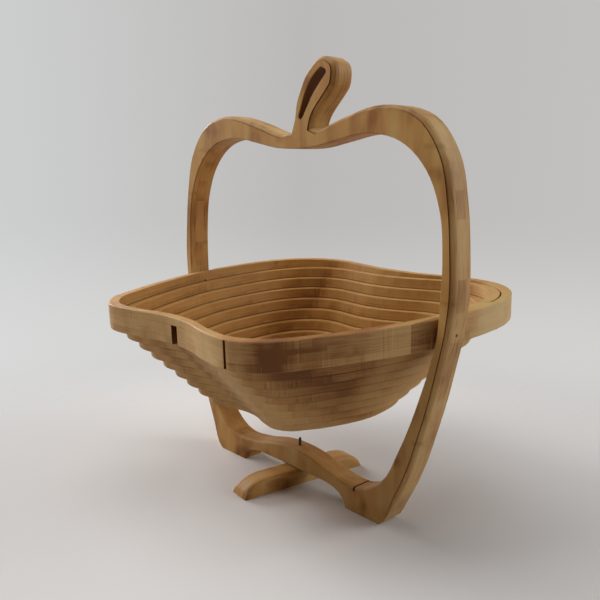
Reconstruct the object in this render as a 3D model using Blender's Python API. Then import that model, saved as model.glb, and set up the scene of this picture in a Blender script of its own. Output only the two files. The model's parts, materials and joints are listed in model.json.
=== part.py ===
# Folding bamboo fruit basket.
# An apple-shaped frame stands upright in the XZ plane and holds a basket on two pins.
# The basket is a rim and one long spiral strip that drops in steps to a flat floor.
# A short cross foot swivels on a screw under the frame.
# Units are metres and +Z is up. The front of the basket faces -Y.

import math

import bpy
from mathutils import Vector
from mathutils.geometry import tessellate_polygon

# Board and saw
board = 0.019
saw_kerf = 0.0012
wedge_gap = 0.0003
end_gap = 0.0006
end_slant = 0.0002
edge_easing = 0.0007
front_rounding = 0.0022

# Frame opening and wall, from the pivot line, at every 10 degrees from the top to the bottom
opening_half_width = 0.1340
opening_radius_shares = (
    0.8600, 0.8795, 0.9546, 1.0687, 1.1531, 1.1722, 1.1361, 1.0744, 1.0262, 1.0000,
    0.9780, 0.9717, 0.9887, 1.0234, 1.0780, 1.0673, 0.9745, 0.8880, 0.8618)
frame_wall = 0.0082
frame_wall_shares = (
    1.110, 1.417, 2.009, 2.506, 2.574, 1.939, 1.184, 1.059, 1.139, 1.000,
    1.013, 1.220, 1.427, 1.841, 2.220, 3.750, 4.500, 5.000, 5.000)

# Foot of the frame
bar_thickness = 0.0154
foot_spread_share = 0.684
arch_half_span = 0.0596
arch_height = 0.0129
arch_shares = ((1, 0), (0.965, 0.40), (0.885, 0.71), (0.766, 0.91), (0.64, 1))

# Stem, with its points as shares of its reach and height
stem_reach = 0.0398
stem_height = 0.0528
stem_shares = (
    (0.444, 0.097), (0.475, 0.185), (0.537, 0.266), (0.616, 0.338), (0.754, 0.444),
    (0.862, 0.527), (0.969, 0.631), (1.000, 0.786), (0.959, 0.897), (0.850, 0.960),
    (0.723, 1.000), (0.566, 0.982), (0.439, 0.919), (0.248, 0.788), (0.117, 0.613),
    (0.014, 0.437), (-0.033, 0.228), (-0.119, 0.043))
eye_shares = (
    (0.697, 0.856), (0.635, 0.842), (0.539, 0.793), (0.410, 0.696), (0.284, 0.540),
    (0.186, 0.362), (0.131, 0.248), (0.191, 0.209), (0.258, 0.268), (0.353, 0.379),
    (0.482, 0.522), (0.640, 0.649), (0.797, 0.768), (0.790, 0.824))
stem_right_share = 0.556
stem_left_share = 0.330

# Basket
turn_count = 8
drop_per_turn = 0.0081
lobe_share = 1.063
rim_width = 0.0106
turn_pitch = 0.0081
side_widening = 0.0092
basket_lean = math.radians(2.8)

# Places round the basket, as angles from the back (+Y) towards +X
shift_end_angle = math.radians(42)
root_angle = math.radians(66)
shift_start_angle = math.radians(124)
left_angle = math.radians(-90)
slit_angle = math.radians(151.5)
slit_depth = 0.0030

# Notch in the front of the rim, for the tip of the foot screw
notch_width = 0.0040
notch_top = 0.0038
notch_clearance = 0.0012

# Pivot pins
pin_radius = 0.0010
pin_depth_share = 0.6
pin_recess = 0.0004
running_gap = 0.0001

# Cross foot and its screw
foot_turned = math.radians(83)
foot_play = 0.0030
foot_top_gap = 0.0004
screw_radius = 0.0015
screw_tip_radius = 0.0012
screw_tip_height = 0.0064
screw_point = 0.0008
screw_head_radius = 0.0032
screw_head_height = 0.0018
screw_recess = 0.0005

# Fineness
degrees_per_step = 4
round_sides = 16
cut_margin = 0.0040
probe_angle = math.radians(0.2)

half_board = board / 2
wedge_slope = (saw_kerf - wedge_gap) / drop_per_turn
lobe_radius = opening_half_width * lobe_share
step_angle = math.radians(degrees_per_step)
hump_z = -opening_half_width * opening_radius_shares[-1]
floor_z = hump_z - bar_thickness - arch_height
foot_half_spread = opening_half_width * foot_spread_share
stem_foot_z = opening_half_width * opening_radius_shares[0] + frame_wall * frame_wall_shares[0]
slant_angle = end_slant / lobe_radius
tiny_angle = slant_angle / 2
relief_half = half_board + saw_kerf

bamboo = (0.56, 0.36, 0.17)
bamboo_pale = (0.62, 0.42, 0.22)
bamboo_deep = (0.48, 0.29, 0.13)
steel = (0.25, 0.24, 0.23)


def table_value(shares, angle):
    # Smooth curve through a table that is the same on both sides of the middle
    last = len(shares) - 1
    place = abs(math.remainder(angle, math.tau)) / math.pi * last
    low = min(int(place), last - 1)
    part = place - low
    near = [shares[last - abs(last - abs(low + i))] for i in (-1, 0, 1, 2)]
    a, b, c, d = near
    bend = 2 * a - 5 * b + 4 * c - d + part * (3 * (b - c) + d - a)
    return b + part / 2 * (c - a + part * bend)


def cut_radius(index, angle):
    # Cut 0 is the opening of the frame; each higher cut lies further in
    inset = min(index, 1) * rim_width + max(index - 1, 0) * turn_pitch
    share = inset / lobe_radius
    opening = opening_half_width * table_value(opening_radius_shares, angle)
    return opening * (1 - share) - side_widening * math.cos(2 * angle) * share


def cut_point(index, angle, inset):
    # A point on a cut or beside it; the inset is measured square to the cut
    radius = cut_radius(index, angle)
    ahead = cut_radius(index, angle + probe_angle)
    behind = cut_radius(index, angle - probe_angle)
    slope = (ahead - behind) / (2 * probe_angle)
    stretch = math.hypot(1, slope / radius)
    return Vector((math.sin(angle), math.cos(angle))) * (radius - inset * stretch)


def shift_share(angle):
    # Share of one pitch by which the spiral has moved in, going from the front to the back
    turned = math.remainder(angle, math.tau)
    if turned < left_angle + tiny_angle:
        return 0
    share = (shift_start_angle - turned) / (shift_start_angle - shift_end_angle)
    return min(max(share, 0), 1)


def opening_half_at(height):
    # Half width of the opening beside the pivot line, at a small height above it
    angle = math.pi / 2 - math.atan2(height, opening_half_width)
    return cut_radius(0, angle) * math.sin(angle)


def rim_outer_point(angle):
    # The rim is cut back beside the pins so that its thickness clears the uprights as it turns
    point = cut_point(0, angle, saw_kerf)
    limit = min(opening_half_at(-half_board), opening_half_at(half_board)) - saw_kerf / 2
    limit += max(abs(point.y) - relief_half, 0) / 2
    point.x = min(max(point.x, -limit), limit)
    return point


def new_object(name, verts, faces, colour, parent, place):
    mesh = bpy.data.meshes.new(name)
    mesh.from_pydata([tuple(v) for v in verts], [], faces)
    mesh.validate()
    material = bpy.data.materials.new(name)
    material.use_nodes = True
    shader = material.node_tree.nodes["Principled BSDF"]
    shader.inputs["Base Color"].default_value = (*colour, 1)
    shader.inputs["Roughness"].default_value = 0.5
    mesh.materials.append(material)
    thing = bpy.data.objects.new(name, mesh)
    bpy.context.scene.collection.objects.link(thing)
    thing.parent = parent
    thing.location = place
    return thing


def empty_at(name, parent, place, turn):
    thing = bpy.data.objects.new(name, None)
    bpy.context.scene.collection.objects.link(thing)
    thing.parent = parent
    thing.location = place
    thing.rotation_euler = turn
    return thing


def cut_away(target, cutter):
    cutter.display_type = "WIRE"
    cutter.hide_render = True
    change = target.modifiers.new(cutter.name, "BOOLEAN")
    change.operation = "DIFFERENCE"
    change.solver = "EXACT"
    change.object = cutter


def block(name, low, high, parent):
    corners = [(x, y, z) for x in (low[0], high[0]) for y in (low[1], high[1]) for z in (low[2], high[2])]
    faces = [(0, 1, 3, 2), (4, 6, 7, 5), (0, 4, 5, 1), (2, 3, 7, 6), (0, 2, 6, 4), (1, 5, 7, 3)]
    return new_object(name, corners, faces, bamboo, parent, (0, 0, 0))


def turned_body(name, profile, axis, colour, parent, place):
    # A round body from radius and height pairs, standing along Z or lying along X
    verts = []
    for radius, height in profile:
        for i in range(round_sides):
            turn = math.tau * (i + 0.5) / round_sides
            across = (radius * math.cos(turn), radius * math.sin(turn))
            point = (across[0], across[1], height)
            if axis == "X":
                point = (height, across[0], across[1])
            verts.append(point)
    faces = [tuple(reversed(range(round_sides)))]
    for ring in range(len(profile) - 1):
        for i in range(round_sides):
            j = (i + 1) % round_sides
            low = ring * round_sides
            high = low + round_sides
            faces.append((low + i, low + j, high + j, high + i))
    top = (len(profile) - 1) * round_sides
    faces.append(tuple(range(top, top + round_sides)))
    return new_object(name, verts, faces, colour, parent, place)


def wall_insets(side):
    # Insets of a bevelled wall at its top and bottom; side is 1 for an outer wall, -1 for an inner one
    return [side * saw_kerf / 2 - z * wedge_slope for z in (half_board, -half_board)]


def band(name, rows, closed, colour, parent, place, lift):
    # A band of four-cornered sections: outer top, outer bottom, inner bottom, inner top
    origin = Vector(place)
    verts = []
    for outer_top, outer_bottom, inner_bottom, inner_top in rows:
        levels = (half_board, -half_board, -half_board, half_board)
        for point, z in zip((outer_top, outer_bottom, inner_bottom, inner_top), levels):
            verts.append(Vector((point.x, point.y, z + lift(point.x))) - origin)
    faces = []
    count = len(rows)
    spans = count if closed else count - 1
    for i in range(spans):
        low = 4 * i
        high = 4 * ((i + 1) % count)
        for corner in range(4):
            after = (corner + 1) % 4
            faces.append((low + corner, low + after, high + after, high + corner))
    if not closed:
        faces.append((3, 2, 1, 0))
        end = 4 * (count - 1)
        faces.append((end, end + 1, end + 2, end + 3))
    return new_object(name, verts, faces, colour, parent, place)


def strip_rows(outer_index, inner_index, angles):
    rows = []
    for angle in angles:
        top_out, bottom_out = wall_insets(1)
        top_in, bottom_in = wall_insets(-1)
        rows.append((
            cut_point(outer_index(angle), angle, top_out),
            cut_point(outer_index(angle), angle, bottom_out),
            cut_point(inner_index(angle), angle, bottom_in),
            cut_point(inner_index(angle), angle, top_in)))
    return rows


def angles_between(start, stop):
    # Angles at whole steps, going down from start to stop, with both ends kept
    first = math.floor(start / step_angle)
    last = math.ceil(stop / step_angle)
    inner = [i * step_angle for i in range(first, last - 1, -1)]
    near = step_angle / 4
    inner = [a for a in inner if start - near > a > stop + near]
    return [start, *inner, stop]


def miter_offset(loop, inset):
    # Loops run with the wood on their left, so a positive inset moves each side into the wood
    moved = []
    count = len(loop)
    for i in range(count):
        before = (loop[i] - loop[i - 1]).normalized()
        after = (loop[(i + 1) % count] - loop[i]).normalized()
        middle = Vector((-before.y - after.y, before.x + after.x)).normalized()
        lean = max(middle.dot(Vector((-before.y, before.x))), 0.5)
        moved.append(loop[i] + middle * (inset / lean))
    return moved


def edge_profile(front, back, parts):
    # Inset and depth of each ring of a wall, from the front face to the back face
    rings = []
    for i in range(parts + 1):
        turn = math.pi / 2 * i / parts
        rings.append((front * (1 - math.sin(turn)), -half_board + front * (1 - math.cos(turn))))
    rings.append((0, half_board - back))
    rings.append((back, half_board))
    return rings


def plate(name, loops, profiles, colour, parent):
    # An upright plate in the XZ plane with shaped edges
    verts = []
    faces = []
    fronts = []
    backs = []
    front_ids = []
    back_ids = []
    for loop, profile in zip(loops, profiles):
        count = len(loop)
        start = len(verts)
        for inset, depth in profile:
            ring = miter_offset(loop, inset)
            verts.extend(Vector((p.x, depth, p.y)) for p in ring)
        for ring in range(len(profile) - 1):
            low = start + ring * count
            high = low + count
            for i in range(count):
                j = (i + 1) % count
                faces.append((low + i, high + i, high + j, low + j))
        last = start + (len(profile) - 1) * count
        fronts.append([Vector((verts[start + i].x, verts[start + i].z, 0)) for i in range(count)])
        backs.append([Vector((verts[last + i].x, verts[last + i].z, 0)) for i in range(count)])
        front_ids.extend(range(start, start + count))
        back_ids.extend(range(last, last + count))
    for outline, ids, away in ((fronts, front_ids, -1), (backs, back_ids, 1)):
        for tri in tessellate_polygon(outline):
            a, b, c = [verts[ids[i]] for i in tri]
            facing = (b - a).cross(c - a).y
            corner = [ids[i] for i in tri]
            if facing * away < 0:
                corner.reverse()
            faces.append(tuple(corner))
    return new_object(name, verts, faces, colour, parent, (0, 0, 0))


def smooth_path(points, parts, closed):
    # Rounds a path by adding points between the given ones
    count = len(points)
    path = []
    spans = count if closed else count - 1
    for i in range(spans):
        if closed:
            near = [points[(i + k) % count] for k in (-1, 0, 1, 2)]
        else:
            near = [points[min(max(i + k, 0), count - 1)] for k in (-1, 0, 1, 2)]
        a, b, c, d = near
        for step in range(parts):
            t = step / parts
            bend = 2 * a - 5 * b + 4 * c - d + (3 * (b - c) + d - a) * t
            path.append(b + (c - a + bend * t) * (t / 2))
    if not closed:
        path.append(points[-1])
    return path


def side_point(angle):
    radius = cut_radius(0, angle) + frame_wall * table_value(frame_wall_shares, angle)
    return Vector((radius * math.sin(angle), radius * math.cos(angle)))


def stem_point(share):
    return Vector((share[0] * stem_reach, stem_foot_z + share[1] * stem_height))


def arch_path(half_length, height, side):
    return [Vector((side * x * half_length, floor_z + z * height)) for x, z in arch_shares]


for old in list(bpy.data.objects):
    bpy.data.objects.remove(old, do_unlink=True)

# The rim's reach to the front and back centres the whole part on the origin
full_circle = [i * step_angle for i in range(round(math.tau / step_angle))]
rim_ys = [rim_outer_point(a).y for a in full_circle]
lean_run = half_board * math.sin(basket_lean)
front_y = min(rim_ys) * math.cos(basket_lean) - lean_run
back_y = max(rim_ys) * math.cos(basket_lean) + lean_run
centre_y = -(front_y + back_y) / 2
whole = empty_at("folding_basket", None, (0, centre_y, -floor_z), (0, 0, 0))

# Frame
corner_angle = math.atan2(foot_half_spread, floor_z)
stem_right_angle = math.atan2(stem_reach * stem_right_share, stem_foot_z)
stem_left_angle = math.atan2(stem_reach * stem_left_share, stem_foot_z)
right_angles = angles_between(corner_angle - step_angle / 2, stem_right_angle)
right_side = [side_point(a) for a in right_angles]
left_angles = angles_between(corner_angle - step_angle / 2, stem_left_angle)
left_side = [side_point(-a) for a in reversed(left_angles)]
stem = smooth_path([stem_point(s) for s in stem_shares], 2, False)
arch_left = smooth_path(arch_path(arch_half_span, arch_height, -1), 2, False)
arch_right = smooth_path(arch_path(arch_half_span, arch_height, 1), 2, False)
outer_loop = [
    Vector((foot_half_spread, floor_z)), *right_side, *stem, *left_side,
    Vector((-foot_half_spread, floor_z)), *arch_left, *reversed(arch_right)]
opening_loop = [cut_point(0, a, 0) for a in full_circle]
eye_loop = smooth_path([stem_point(s) for s in eye_shares], 2, True)
eye_turn = sum((a.x * b.y - a.y * b.x) for a, b in zip(eye_loop, [*eye_loop[1:], eye_loop[0]]))
if eye_turn > 0:
    eye_loop.reverse()
frame = plate(
    "frame", [outer_loop, opening_loop, eye_loop],
    [edge_profile(front_rounding, edge_easing, 3), edge_profile(edge_easing, edge_easing, 1),
     edge_profile(edge_easing, edge_easing, 1)],
    bamboo, whole)

# Basket, leaning as one on the pivot line
basket = empty_at("basket_hinge", whole, (0, 0, 0), (basket_lean, 0, 0))


def level(x):
    return 0


# The rim is thin round the back, where the first ramp lies inside it
relief_angle = math.atan2(relief_half, opening_half_width)
rim_angles = angles_between(root_angle, root_angle - math.tau + slant_angle)[:-1]
rim_angles.append(root_angle - slant_angle)
for side_angle in (math.pi / 2 - math.tau, left_angle):
    rim_angles.extend((side_angle - relief_angle, side_angle + relief_angle))
rim_angles.sort(reverse=True)
rim_rows = []
for angle in rim_angles:
    top_in, bottom_in = wall_insets(-1)
    index = shift_share(angle)
    if not left_angle < angle < root_angle - tiny_angle:
        index += 1
    rim_rows.append((
        rim_outer_point(angle), rim_outer_point(angle),
        cut_point(index, angle, bottom_in), cut_point(index, angle, top_in)))
rim = band("rim", rim_rows, True, bamboo_pale, basket, (0, 0, 0), level)

# Each level turn runs from the left round the front to the root side
for k in range(1, turn_count):
    start = left_angle
    stop = root_angle - math.tau
    rows = strip_rows(
        lambda a: k + shift_share(a), lambda a: k + 1 + shift_share(a), angles_between(start, stop))
    drop = k * drop_per_turn
    band(f"turn_{k}", rows, False, bamboo, basket, (0, 0, -drop), lambda x: -drop)

# Each ramp runs from the root side round the back to the left, one step down
for k in range(1, turn_count + 1):
    middle = k - 0.5
    hinge_x = cut_point(middle + shift_share(root_angle), root_angle, 0).x
    far_x = cut_point(k + 0.5, left_angle, 0).x
    run = hinge_x - far_x
    gap_angle = end_gap / cut_radius(k + 1, left_angle)
    start = root_angle - gap_angle
    stop = left_angle + gap_angle
    rows = strip_rows(
        lambda a: k - 1 + shift_share(a), lambda a: k + shift_share(a), angles_between(start, stop))
    top = (k - 1) * drop_per_turn
    place = (hinge_x, 0, -top)
    band(
        f"ramp_{k}", rows, False, bamboo_deep, basket, place,
        lambda x: -top - drop_per_turn * (hinge_x - x) / run)

# Flat floor of the basket, with a step on the left where the last ramp meets it
floor_drop = turn_count * drop_per_turn
floor_rows = []
for angle in angles_between(left_angle, left_angle - math.tau + slant_angle):
    index = turn_count + shift_share(angle)
    floor_rows.append([cut_point(index, angle, inset) for inset in wall_insets(1)])
count = len(floor_rows)
floor_verts = [Vector((row[0].x, row[0].y, half_board)) for row in floor_rows]
floor_verts += [Vector((row[1].x, row[1].y, -half_board)) for row in floor_rows]
floor_faces = [tuple(range(count)), tuple(reversed(range(count, 2 * count)))]
for i in range(count):
    j = (i + 1) % count
    floor_faces.append((i, count + i, count + j, j))
new_object("basket_floor", floor_verts, floor_faces, bamboo, basket, (0, 0, -floor_drop))

# Cuts in the rim: the notch for the screw tip, the saw's entry slit and the pin holes
tip_reach = screw_tip_height - saw_kerf
rim_front = -rim_outer_point(math.pi).length
notch = block(
    "notch_cutter", (-notch_width / 2, rim_front - cut_margin, -half_board - cut_margin),
    (notch_width / 2, rim_front + tip_reach + notch_clearance, notch_top), basket)
cut_away(rim, notch)
slit_out = cut_point(0, slit_angle, 0)
rim_slit_y = cut_point(0, slit_angle, saw_kerf).y
rim_slit = block(
    "rim_slit_cutter",
    (slit_out.x - saw_kerf / 2, rim_slit_y - cut_margin, -half_board - cut_margin),
    (slit_out.x + saw_kerf / 2, rim_slit_y + slit_depth, half_board + cut_margin), basket)
cut_away(rim, rim_slit)
frame_slit = block(
    "frame_slit_cutter",
    (slit_out.x - saw_kerf / 2, -half_board - cut_margin, slit_out.y - slit_depth),
    (slit_out.x + saw_kerf / 2, half_board + cut_margin, slit_out.y + cut_margin), whole)
cut_away(frame, frame_slit)

# Pivot pins and their holes
rim_wall = cut_point(1, left_angle, 0).x - rim_outer_point(left_angle).x
for side, word in ((-1, "left"), (1, "right")):
    rim_x = rim_outer_point(side * math.pi / 2).x
    inner_x = rim_x - side * rim_wall * pin_depth_share
    outer_x = side * (side_point(math.pi / 2).x - pin_recess)
    pin = [(pin_radius, min(inner_x, outer_x)), (pin_radius, max(inner_x, outer_x))]
    turned_body(f"pivot_pin_{word}", pin, "X", steel, whole, (0, 0, 0))
    hole = pin_radius + running_gap
    deep_x = inner_x - side * running_gap * 2
    past_x = rim_x + side * cut_margin
    rim_hole = [(hole, min(deep_x, past_x)), (hole, max(deep_x, past_x))]
    cut_away(rim, turned_body(f"rim_hole_{word}_cutter", rim_hole, "X", steel, basket, (0, 0, 0)))
    near_x = side * (opening_half_width - cut_margin)
    far_x = side * (side_point(math.pi / 2).x + cut_margin)
    frame_hole = [(hole, min(near_x, far_x)), (hole, max(near_x, far_x))]
    cut_away(frame, turned_body(f"frame_hole_{word}_cutter", frame_hole, "X", steel, whole, (0, 0, 0)))

# Cross foot, built along the frame and turned to where it stands
foot_pivot = empty_at("foot_pivot", whole, (0, 0, 0), (0, 0, foot_turned))
foot_half_length = arch_half_span - foot_play
foot_height = arch_height - foot_top_gap
foot_left = smooth_path(arch_path(foot_half_length, foot_height, -1), 2, False)
foot_right = smooth_path(arch_path(foot_half_length, foot_height, 1), 2, False)
foot_loop = [*foot_right, *reversed(foot_left)]
foot = plate(
    "cross_foot", [foot_loop], [edge_profile(edge_easing, edge_easing, 1)], bamboo_deep, foot_pivot)

# Foot screw, with its head sunk in the foot and its tip standing out of the hump
head_z = floor_z + screw_recess
neck_z = head_z + screw_head_height
tip_z = hump_z + screw_tip_height
screw = [
    (screw_head_radius, head_z), (screw_radius, neck_z), (screw_radius, hump_z - edge_easing),
    (screw_tip_radius, hump_z), (screw_tip_radius, tip_z - screw_point),
    (screw_tip_radius / 2, tip_z)]
turned_body("foot_screw", screw, "Z", steel, whole, (0, 0, 0))
hole = screw_radius + running_gap
arch_top = floor_z + arch_height
bar_hole = [(hole, arch_top - cut_margin), (hole, hump_z + cut_margin)]
cut_away(frame, turned_body("bar_hole_cutter", bar_hole, "Z", steel, whole, (0, 0, 0)))
sink_radius = screw_head_radius + running_gap
widen = (sink_radius - hole) / screw_head_height
foot_hole = [
    (sink_radius, floor_z - cut_margin), (sink_radius, head_z), (hole, neck_z),
    (hole, arch_top + cut_margin)]
cut_away(foot, turned_body("foot_hole_cutter", foot_hole, "Z", steel, foot_pivot, (0, 0, 0)))
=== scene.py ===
import json
import math

import bpy
from mathutils import Matrix, Vector
from mathutils.kdtree import KDTree


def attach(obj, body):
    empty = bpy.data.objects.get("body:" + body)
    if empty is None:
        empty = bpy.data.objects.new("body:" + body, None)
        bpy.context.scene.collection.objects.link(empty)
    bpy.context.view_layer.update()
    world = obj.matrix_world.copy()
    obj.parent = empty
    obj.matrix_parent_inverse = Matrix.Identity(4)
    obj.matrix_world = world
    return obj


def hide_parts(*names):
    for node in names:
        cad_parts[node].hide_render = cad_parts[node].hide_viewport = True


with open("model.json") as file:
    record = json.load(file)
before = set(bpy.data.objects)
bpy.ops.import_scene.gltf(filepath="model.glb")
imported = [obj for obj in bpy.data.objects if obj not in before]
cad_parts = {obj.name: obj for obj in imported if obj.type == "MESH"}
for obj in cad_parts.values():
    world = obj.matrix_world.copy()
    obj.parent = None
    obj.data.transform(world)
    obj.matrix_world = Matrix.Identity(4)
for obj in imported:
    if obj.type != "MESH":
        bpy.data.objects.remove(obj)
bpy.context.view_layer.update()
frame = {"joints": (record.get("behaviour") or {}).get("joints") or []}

joints = {joint["name"]: joint for joint in frame["joints"]}
pivot = Vector(joints["basket_swing"]["pos_m"])
foldAxis = Vector(joints["bowl_fold"]["axis"])
foldTravel = joints["bowl_fold"]["range_m"][1]

# Places round the board are angles from the top of the apple towards +X
board = {
    "thickness": 0.019,
    "sawKerf": 0.0012,
    "openingHalfWidth": 0.1340,
    "openingShares": (
        0.8600, 0.8795, 0.9546, 1.0687, 1.1531, 1.1722, 1.1361, 1.0744, 1.0262, 1.0000,
        0.9780, 0.9717, 0.9887, 1.0234, 1.0780, 1.0673, 0.9745, 0.8880, 0.8618),
    "slitAngle": math.radians(151.5),
    "slitDepth": 0.0030,
    "stepAngle": math.radians(2),
    "curveParts": 4,
    "roundSteps": 5,
}
halfBoard = board["thickness"] / 2
kerf = board["sawKerf"]
openingHalf = board["openingHalfWidth"]
near = 0.0001  # less than this apart counts as the same place


def partWay(low, high, share):
    return low + (high - low) * share


def blend(value, low, high):
    # Rises softly from 0 to 1 between low and high
    share = min(max((value - low) / (high - low), 0), 1)
    return share * share * (3 - 2 * share)


def curveBetween(a, b, c, d, share):
    # The way from b to c, on a smooth curve through all four
    bend = 2 * a - 5 * b + 4 * c - d + (3 * (b - c) + d - a) * share
    return b + (c - a + bend * share) * (share / 2)


def tableValue(shares, angle):
    # Smooth curve through a table that is the same on both sides of the apple
    last = len(shares) - 1
    place = abs(math.remainder(angle, math.tau)) / math.pi * last
    low = min(int(place), last - 1)
    around = [shares[last - abs(last - abs(low + i))] for i in (-1, 0, 1, 2)]
    return curveBetween(*around, place - low)


def smoothPath(points, closed):
    # Adds points between the given ones, on a curve through them
    path = []
    count = len(points)
    for i in range(count if closed else count - 1):
        places = range(i - 1, i + 3)
        if closed:
            around = [points[k % count] for k in places]
        else:
            around = [points[min(max(k, 0), count - 1)] for k in places]
        path += [curveBetween(*around, k / board["curveParts"]) for k in range(board["curveParts"])]
    if not closed:
        path.append(points[-1])
    return path


def roundPoint(radius, angle, z=0):
    return Vector((radius * math.sin(angle), radius * math.cos(angle), z))


def anglesBetween(start, stop):
    # Angles going down from start to stop in even steps
    count = math.ceil((start - stop) / board["stepAngle"])
    return [partWay(start, stop, i / count) for i in range(count + 1)]


def mode(word):
    bpy.ops.object.mode_set(mode=word)


def clearSelection():
    if bpy.context.mode != "OBJECT":
        mode("OBJECT")
    bpy.ops.object.select_all(action="DESELECT")


def newPiece(name):
    # The object that was just added
    piece = bpy.context.object
    piece.name = name
    return piece


def takeUp(piece):
    clearSelection()
    piece.select_set(True)
    bpy.context.view_layer.objects.active = piece


def editNone(kind):
    mode("EDIT")
    bpy.ops.mesh.select_mode(type=kind)
    bpy.ops.mesh.select_all(action="DESELECT")


def pickEdges(piece, test):
    # Opens the piece for editing, with the sharp edges selected whose two ends pass the test
    takeUp(piece)
    editNone("EDGE")
    bpy.ops.mesh.edges_select_sharp(sharpness=math.radians(40))
    mode("OBJECT")
    sharp = [edge for edge in piece.data.edges if edge.select]
    for parts in (piece.data.polygons, piece.data.vertices):
        parts.foreach_set("select", [False] * len(parts))
    for edge in sharp:
        a, b = [piece.data.vertices[i].co for i in edge.vertices]
        edge.select = test(a, b)
    mode("EDIT")


def easeEdges(piece, test, width, segments):
    pickEdges(piece, test)
    bpy.ops.mesh.bevel(
        offset=width, segments=segments, affect="EDGES", clamp_overlap=False, loop_slide=False)
    mode("OBJECT")


def editAll():
    mode("EDIT")
    bpy.ops.mesh.select_all(action="SELECT")


def facesOut(piece):
    takeUp(piece)
    editAll()
    bpy.ops.mesh.normals_make_consistent(inside=False)
    mode("OBJECT")


def saw(piece, cutter):
    # Takes the cutter's shape out of the piece
    takeUp(piece)
    cut = piece.modifiers.new("cut", "BOOLEAN")
    cut.operation = "DIFFERENCE"
    cut.solver = "EXACT"
    cut.object = cutter
    bpy.ops.object.modifier_apply(modifier=cut.name)
    bpy.data.objects.remove(cutter, do_unlink=True)


def sawBlade(low, high):
    clearSelection()
    middle = [(a + b) / 2 for a, b in zip(low, high)]
    size = [b - a for a, b in zip(low, high)]
    bpy.ops.mesh.primitive_cube_add(size=1, location=middle, scale=size)
    return bpy.context.object


def roundBar(radius, start, end):
    clearSelection()
    run = Vector(end) - Vector(start)
    turn = run.to_track_quat("Z", "Y").to_euler()
    bpy.ops.mesh.primitive_cylinder_add(
        vertices=24, radius=radius, depth=run.length,
        location=Vector(start) + run / 2, rotation=turn)
    return bpy.context.object


def squareUp(piece, smoothAngle):
    # Faces outwards, with soft shading only round gentle curves
    takeUp(piece)
    bpy.ops.object.transform_apply(location=True, rotation=True, scale=True)
    facesOut(piece)
    bpy.ops.object.shade_smooth_by_angle(angle=math.radians(smoothAngle))


def finishPiece(piece, body, nodes, material):
    piece.data.materials.clear()
    piece.data.materials.append(material)
    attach(piece, body)
    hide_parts(*nodes)
    clearSelection()


def standUp(piece, stand, burntAndShadedShare=lambda centre, normal: 0):
    # Notes where each point and how each face lies in the board, then puts the piece in its place
    squareUp(piece, 8)
    notes = piece.data.attributes
    facing = notes.new("facing", "FLOAT_VECTOR", "FACE")
    outward, burntAndShaded = [notes.new(word, "FLOAT", "FACE") for word in ("outward", "burntAndShaded")]
    for i, face in enumerate(piece.data.polygons):
        facing.data[i].vector = [abs(part) for part in face.normal]
        fromCentre = Vector((face.center.x, face.center.y, 0)).normalized()
        outward.data[i].value = max(face.normal.dot(fromCentre), 0)
        burntAndShaded.data[i].value = float(burntAndShadedShare(face.center, face.normal))
    place = notes.new("board", "FLOAT_VECTOR", "POINT")
    for i, vertex in enumerate(piece.data.vertices):
        place.data[i].vector = vertex.co
        vertex.co = stand(vertex.co)


# The saw cuts in the board
basket = {
    "turnCount": 8,
    "rimWidth": 0.0106,
    "turnPitch": 0.0081,
    "sideWidening": 0.0092,
    "lobeShare": 1.063,
    "closedGap": 0.0003,
    "shiftEndAngle": math.radians(42),
    "rootAngle": math.radians(66),
    "shiftStartAngle": math.radians(124),
    "leftAngle": math.radians(-90),
    "stepSlant": math.radians(0.08),
    "sameAngle": math.radians(0.01),
    "rootGap": 0.0003,
    "leftGap": 0.00006,
    "stripEase": 0.0004,
}
leftAngle, rootAngle, turnCount = [basket[word] for word in ("leftAngle", "rootAngle", "turnCount")]
dropPerTurn = foldTravel / turnCount
wedgeSlope = (kerf - basket["closedGap"]) / dropPerTurn
lobeRadius = openingHalf * basket["lobeShare"]


def cutRadius(index, angle):
    # Cut 0 is the frame's opening; each higher cut lies further in
    inset = min(index, 1) * basket["rimWidth"] + max(index - 1, 0) * basket["turnPitch"]
    share = inset / lobeRadius
    opening = openingHalf * tableValue(board["openingShares"], angle)
    return opening * (1 - share) - basket["sideWidening"] * math.cos(2 * angle) * share


def cutPoint(index, angle, inset, z):
    # A point beside a cut; the inset is measured square to the cut
    probe = math.radians(0.2)
    radius = cutRadius(index, angle)
    slope = (cutRadius(index, angle + probe) - cutRadius(index, angle - probe)) / (2 * probe)
    return roundPoint(radius - inset * math.hypot(1, slope / radius), angle, z)


def shiftShare(angle):
    # Share of a pitch by which the spiral has moved in, from the front to the back
    turned = math.remainder(angle, math.tau)
    if turned < leftAngle + basket["sameAngle"]:
        return 0
    span = basket["shiftStartAngle"] - basket["shiftEndAngle"]
    return min(max((basket["shiftStartAngle"] - turned) / span, 0), 1)


def stripWalls(index, angle):
    # Outer and inner wall of what lies between a cut and the next one, as points for a height z
    return (
        lambda z: cutPoint(index, angle, kerf / 2 - z * wedgeSlope, z),
        lambda z: cutPoint(index + 1, angle, -kerf / 2 - z * wedgeSlope, z))


def bentBar(name, rows):
    # A straight bar, cut lengthwise into even lengths, with each cross section moved to its place
    count = len(rows) - 1
    clearSelection()
    bpy.ops.mesh.primitive_cube_add(size=1)
    bar = newPiece(name)
    pickEdges(bar, lambda a, b: abs(a.x - b.x) > 0.5)
    bpy.ops.mesh.subdivide(number_cuts=count - 1)
    mode("OBJECT")
    for vertex in bar.data.vertices:
        outer, inner = rows[round((vertex.co.x + 0.5) * count)]
        wall = outer if vertex.co.y < 0 else inner
        vertex.co = wall(halfBoard if vertex.co.z > 0 else -halfBoard)
    facesOut(bar)
    return bar


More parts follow.
